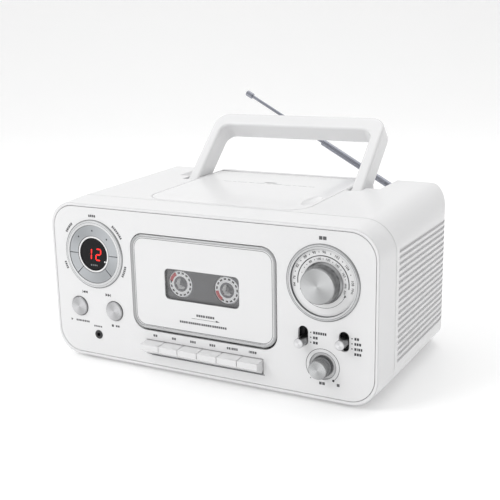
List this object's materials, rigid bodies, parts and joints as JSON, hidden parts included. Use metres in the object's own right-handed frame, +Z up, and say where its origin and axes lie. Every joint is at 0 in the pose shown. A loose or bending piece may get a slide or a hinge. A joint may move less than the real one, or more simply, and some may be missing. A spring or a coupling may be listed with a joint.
{
  "type": "portable cassette and disc radio",
  "caption": "White portable CD radio cassette recorder with a carrying handle, telescopic antenna, top disc lid and slotted side speaker grilles.",
  "frame": {"origin": "on the floor under the middle of the object's bounding box", "axes": "+X to the right of somebody facing the front, +Y to the back, +Z up"},
  "size_m": [0.3, 0.2134, 0.2162],
  "materials": {
    "cabinet_white": "satin white moulded plastic",
    "panel_white": "smooth white moulded plastic",
    "grey_trim": "light grey ring",
    "silver": "spun silver button",
    "smoked": "smoked clear plastic window",
    "display_glass": "dark display window",
    "black_plastic": "matt black",
    "rubber": "black rubber",
    "steel": "plain steel",
    "antenna_chrome": "bright plated tube",
    "brass": "turned brass",
    "cassette": "grey cassette shell",
    "reel_white": "white hub",
    "board_green": "circuit board",
    "speaker_black": "paper cone and frame",
    "tray_grey": "dark disc tray",
    "scale_white": "printed scale disc",
    "knob_white": "glossy white"
  },
  "bodies": {
    "cabinet": {"front_cabinet": "cabinet_white", "rear_cabinet": "cabinet_white", "front_panel": "panel_white", "rubber_feet": "rubber", "cabinet_screws": "steel", "handle_pins": "steel", "display_ring": "grey_trim", "display_window": "display_glass", "indicator_arc": "silver", "tuning_ring": "grey_trim", "tuning_scale": "scale_white", "tuning_capacitor": "black_plastic", "control_board": "black_plastic", "headphone_jack": "black_plastic", "deck_chassis": "steel", "deck_motor": "steel", "drive_belt": "rubber", "cd_well": "tray_grey", "cd_mechanism": "steel", "left_speaker": "speaker_black", "right_speaker": "speaker_black", "transformer": "steel", "ac_inlet": "black_plastic", "battery_case": "black_plastic", "main_board": "board_green"},
    "handle_body": {"handle": "knob_white"},
    "lid_body": {"cd_lid": "cabinet_white"},
    "door_body": {"cassette_door": "panel_white", "door_window": "smoked", "cassette_shell": "cassette"},
    "left_reel_body": {"left_reel": "reel_white"},
    "right_reel_body": {"right_reel": "reel_white"},
    "left_spindle_body": {"left_spindle": "reel_white"},
    "right_spindle_body": {"right_spindle": "reel_white"},
    "flywheel_body": {"flywheel": "brass"},
    "pulley_body": {"motor_pulley": "brass"},
    "head_body": {"head_plate": "steel"},
    "roller_body": {"pinch_roller": "rubber"},
    "disc_body": {"cd_turntable": "tray_grey"},
    "sled_body": {"cd_sled": "tray_grey"},
    "tuning_body": {"tuning_knob": "knob_white"},
    "volume_body": {"volume_knob": "knob_white"},
    "band_body": {"band_knob": "knob_white"},
    "function_body": {"function_knob": "knob_white"},
    "play_body": {"play_button": "silver"},
    "stop_body": {"stop_button": "silver"},
    "repeat_body": {"repeat_button": "silver"},
    "program_body": {"program_button": "silver"},
    "skip_body": {"skip_rocker": "silver"},
    "swivel_body": {"antenna_swivel": "antenna_chrome"},
    "tube_body": {"antenna_tube": "antenna_chrome"},
    "middle_body": {"antenna_middle_tube": "antenna_chrome"},
    "rod_body": {"antenna_rod": "antenna_chrome"},
    "cover_body": {"battery_cover": "cabinet_white"},
    "record_key_body": {"record_key": "knob_white"},
    "play_key_body": {"play_key": "knob_white"},
    "rewind_key_body": {"rewind_key": "knob_white"},
    "fast_forward_key_body": {"fast_forward_key": "knob_white"},
    "stop_eject_key_body": {"stop_eject_key": "knob_white"},
    "pause_key_body": {"pause_key": "knob_white"}
  },
  "joints": [
    {"name": "handle_swing", "type": "hinge", "parent": "cabinet", "child": "handle_body", "pos_m": [0, 0.02975, 0.131], "axis": [1, 0, 0], "range_deg": [0, 50]},
    {"name": "lid_open", "type": "hinge", "parent": "cabinet", "child": "lid_body", "pos_m": [0, 0.06375, 0.1385], "axis": [-1, 0, 0], "range_deg": [0, 75]},
    {"name": "door_open", "type": "hinge", "parent": "cabinet", "child": "door_body", "pos_m": [0, -0.09195, 0.0382], "axis": [1, 0, 0], "range_deg": [0, 24]},
    {"name": "flywheel_turn", "type": "hinge", "parent": "cabinet", "child": "flywheel_body", "pos_m": [0.026, -0.09625, 0.0486], "axis": [0, 1, 0], "continuous": true},
    {"name": "pulley_turn", "type": "hinge", "parent": "cabinet", "child": "pulley_body", "pos_m": [-0.03, -0.09625, 0.0486], "axis": [0, 1, 0], "continuous": true},
    {"name": "left_spindle_turn", "type": "hinge", "parent": "cabinet", "child": "left_spindle_body", "pos_m": [-0.02125, -0.09625, 0.0771], "axis": [0, 1, 0], "continuous": true},
    {"name": "right_spindle_turn", "type": "hinge", "parent": "cabinet", "child": "right_spindle_body", "pos_m": [0.02125, -0.09625, 0.0771], "axis": [0, 1, 0], "continuous": true},
    {"name": "left_reel_turn", "type": "hinge", "parent": "door_body", "child": "left_reel_body", "pos_m": [-0.02125, -0.09625, 0.0771], "axis": [0, 1, 0], "continuous": true},
    {"name": "right_reel_turn", "type": "hinge", "parent": "door_body", "child": "right_reel_body", "pos_m": [0.02125, -0.09625, 0.0771], "axis": [0, 1, 0], "continuous": true},
    {"name": "head_lift", "type": "slide", "parent": "cabinet", "child": "head_body", "axis": [0, 0, 1], "range_m": [0, 0.004]},
    {"name": "roller_turn", "type": "hinge", "parent": "head_body", "child": "roller_body", "pos_m": [0.026, -0.09625, 0.0377], "axis": [0, 1, 0], "continuous": true},
    {"name": "record_key_press", "type": "hinge", "parent": "cabinet", "child": "record_key_body", "pos_m": [0, -0.07825, 0.018], "axis": [1, 0, 0], "range_deg": [0, 8], "stiffness_Nm_per_rad": 0.35, "springref_deg": -2.86},
    {"name": "play_key_press", "type": "hinge", "parent": "cabinet", "child": "play_key_body", "pos_m": [0, -0.07825, 0.018], "axis": [1, 0, 0], "range_deg": [0, 8], "stiffness_Nm_per_rad": 0.35, "springref_deg": -2.86},
    {"name": "rewind_key_press", "type": "hinge", "parent": "cabinet", "child": "rewind_key_body", "pos_m": [0, -0.07825, 0.018], "axis": [1, 0, 0], "range_deg": [0, 8], "stiffness_Nm_per_rad": 0.35, "springref_deg": -2.86},
    {"name": "fast_forward_key_press", "type": "hinge", "parent": "cabinet", "child": "fast_forward_key_body", "pos_m": [0, -0.07825, 0.018], "axis": [1, 0, 0], "range_deg": [0, 8], "stiffness_Nm_per_rad": 0.35, "springref_deg": -2.86},
    {"name": "stop_eject_key_press", "type": "hinge", "parent": "cabinet", "child": "stop_eject_key_body", "pos_m": [0, -0.07825, 0.018], "axis": [1, 0, 0], "range_deg": [0, 8], "stiffness_Nm_per_rad": 0.35, "springref_deg": -2.86},
    {"name": "pause_key_press", "type": "hinge", "parent": "cabinet", "child": "pause_key_body", "pos_m": [0, -0.07825, 0.018], "axis": [1, 0, 0], "range_deg": [0, 8], "stiffness_Nm_per_rad": 0.35, "springref_deg": -2.86},
    {"name": "disc_turn", "type": "hinge", "parent": "cabinet", "child": "disc_body", "pos_m": [0, -0.00275, 0.125], "axis": [0, 0, 1], "continuous": true},
    {"name": "sled_travel", "type": "slide", "parent": "cabinet", "child": "sled_body", "axis": [1, 0, 0], "range_m": [-0.009, 0.011]},
    {"name": "tuning_turn", "type": "hinge", "parent": "cabinet", "child": "tuning_body", "pos_m": [0.1038, -0.09625, 0.094], "axis": [0, 1, 0], "range_deg": [-130, 130]},
    {"name": "volume_turn", "type": "hinge", "parent": "cabinet", "child": "volume_body", "pos_m": [0.1038, -0.09625, 0.03], "axis": [0, 1, 0], "range_deg": [-150, 150]},
    {"name": "band_slide", "type": "slide", "parent": "cabinet", "child": "band_body", "axis": [0, 0, 1], "range_m": [0, 0.007]},
    {"name": "function_slide", "type": "slide", "parent": "cabinet", "child": "function_body", "axis": [0, 0, 1], "range_m": [-0.0035, 0.0035]},
    {"name": "play_press", "type": "slide", "parent": "cabinet", "child": "play_body", "axis": [0, 1, 0], "range_m": [0, 0.0012], "stiffness_N_per_m": 300, "springref_m": -0.0005},
    {"name": "stop_press", "type": "slide", "parent": "cabinet", "child": "stop_body", "axis": [0, 1, 0], "range_m": [0, 0.0012], "stiffness_N_per_m": 300, "springref_m": -0.0005},
    {"name": "repeat_press", "type": "slide", "parent": "cabinet", "child": "repeat_body", "axis": [0, 1, 0], "range_m": [0, 0.001], "stiffness_N_per_m": 300, "springref_m": -0.0005},
    {"name": "program_press", "type": "slide", "parent": "cabinet", "child": "program_body", "axis": [0, 1, 0], "range_m": [0, 0.001], "stiffness_N_per_m": 300, "springref_m": -0.0005},
    {"name": "skip_rock", "type": "hinge", "parent": "cabinet", "child": "skip_body", "pos_m": [-0.1038, -0.09325, 0.074], "axis": [0, 0, 1], "range_deg": [-3.5, 3.5], "stiffness_Nm_per_rad": 0.1},
    {"name": "antenna_swing", "type": "hinge", "parent": "cabinet", "child": "swivel_body", "pos_m": [0.104, 0.10225, 0.1205], "axis": [0, 1, 0], "range_deg": [-25.4, 120]},
    {"name": "antenna_tilt", "type": "hinge", "parent": "swivel_body", "child": "tube_body", "pos_m": [0.104, 0.10225, 0.1205], "axis": [-0.4873, 0, -0.8733], "range_deg": [0, 90]},
    {"name": "middle_tube_slide", "type": "slide", "parent": "tube_body", "child": "middle_body", "axis": [-0.8733, 0, 0.4873], "range_m": [0, 0.07]},
    {"name": "rod_slide", "type": "slide", "parent": "middle_body", "child": "rod_body", "axis": [-0.8733, 0, 0.4873], "range_m": [-0.078, 0]},
    {"name": "battery_cover_open", "type": "hinge", "parent": "cabinet", "child": "cover_body", "pos_m": [0, 0.08235, 0.0178], "axis": [-1, 0, 0], "range_deg": [0, 60]}
  ],
  "couplings": [
    {"joint": "pulley_turn", "follows": "flywheel_turn", "ratio": 5},
    {"joint": "left_spindle_turn", "follows": "flywheel_turn", "ratio": 0.06},
    {"joint": "right_spindle_turn", "follows": "flywheel_turn", "ratio": 0.06},
    {"joint": "left_reel_turn", "follows": "flywheel_turn", "ratio": 0.06},
    {"joint": "right_reel_turn", "follows": "flywheel_turn", "ratio": 0.06},
    {"joint": "roller_turn", "follows": "flywheel_turn", "ratio": -0.2}
  ]
}
